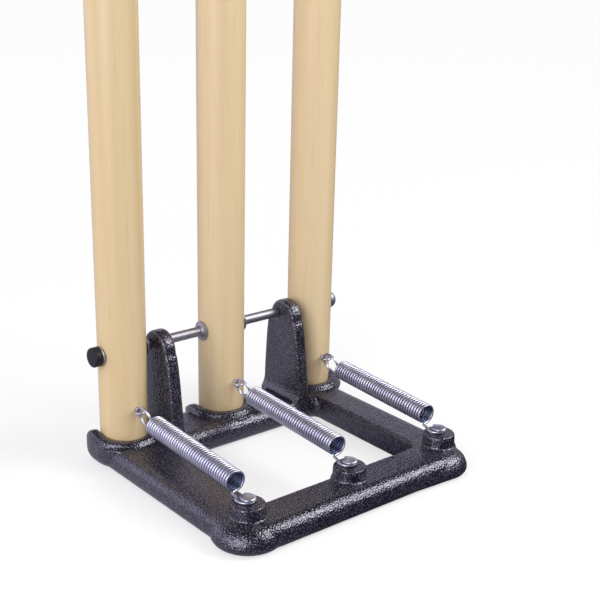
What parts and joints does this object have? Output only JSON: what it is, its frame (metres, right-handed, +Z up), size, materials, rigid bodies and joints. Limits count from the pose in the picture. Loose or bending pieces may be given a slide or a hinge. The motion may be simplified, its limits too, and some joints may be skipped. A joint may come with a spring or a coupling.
{
  "type": "spring-return cricket stumps",
  "caption": "Cricket stumps on a cast base with a cross rod: each stump tilts on the rod when struck and an extension spring pulls it upright again.",
  "frame": {"origin": "centre of the footprint on the ground under the base", "axes": "+Z up, +X along the cross rod from the left stump to the right one, -Y towards the springs"},
  "size_m": [0.2466, 0.2114, 0.7104],
  "materials": {
    "enamel": "glossy hammered enamel on cast iron",
    "timber": "clear varnished ash",
    "zinc": "bright zinc plate",
    "steel": "plain bright steel",
    "rubber": "satin black"
  },
  "bodies": {
    "base": {"base_casting": "enamel", "spring_left": "zinc", "spring_pin_left": "zinc", "spring_middle": "zinc", "spring_pin_middle": "zinc", "spring_right": "zinc", "spring_pin_right": "zinc", "pivot_rod": "steel", "rod_end_cap": "rubber", "end_washer_left": "steel", "inner_spacer_left": "steel", "outer_spacer_left": "steel", "end_washer_right": "steel", "inner_spacer_right": "steel", "outer_spacer_right": "steel"},
    "stump_left": {"stump_left": "timber", "pivot_bush_left": "steel", "screw_eye_left": "zinc"},
    "stump_middle": {"stump_middle": "timber", "pivot_bush_middle": "steel", "screw_eye_middle": "zinc"},
    "stump_right": {"stump_right": "timber", "pivot_bush_right": "steel", "screw_eye_right": "zinc"}
  },
  "joints": [
    {"name": "stump_left_tilt", "type": "hinge", "parent": "base", "child": "stump_left", "pos_m": [-0.09525, 0.08582, 0.0923], "axis": [1, 0, 0], "range_deg": [0, 60], "stiffness_Nm_per_rad": 5, "springref_deg": -17.19, "deforming": ["spring_left"]},
    {"name": "stump_middle_tilt", "type": "hinge", "parent": "base", "child": "stump_middle", "pos_m": [0, 0.08582, 0.0923], "axis": [1, 0, 0], "range_deg": [0, 60], "stiffness_Nm_per_rad": 5, "springref_deg": -17.19, "deforming": ["spring_middle"]},
    {"name": "stump_right_tilt", "type": "hinge", "parent": "base", "child": "stump_right", "pos_m": [0.09525, 0.08582, 0.0923], "axis": [1, 0, 0], "range_deg": [0, 60], "stiffness_Nm_per_rad": 5, "springref_deg": -17.19, "deforming": ["spring_right"]}
  ]
}
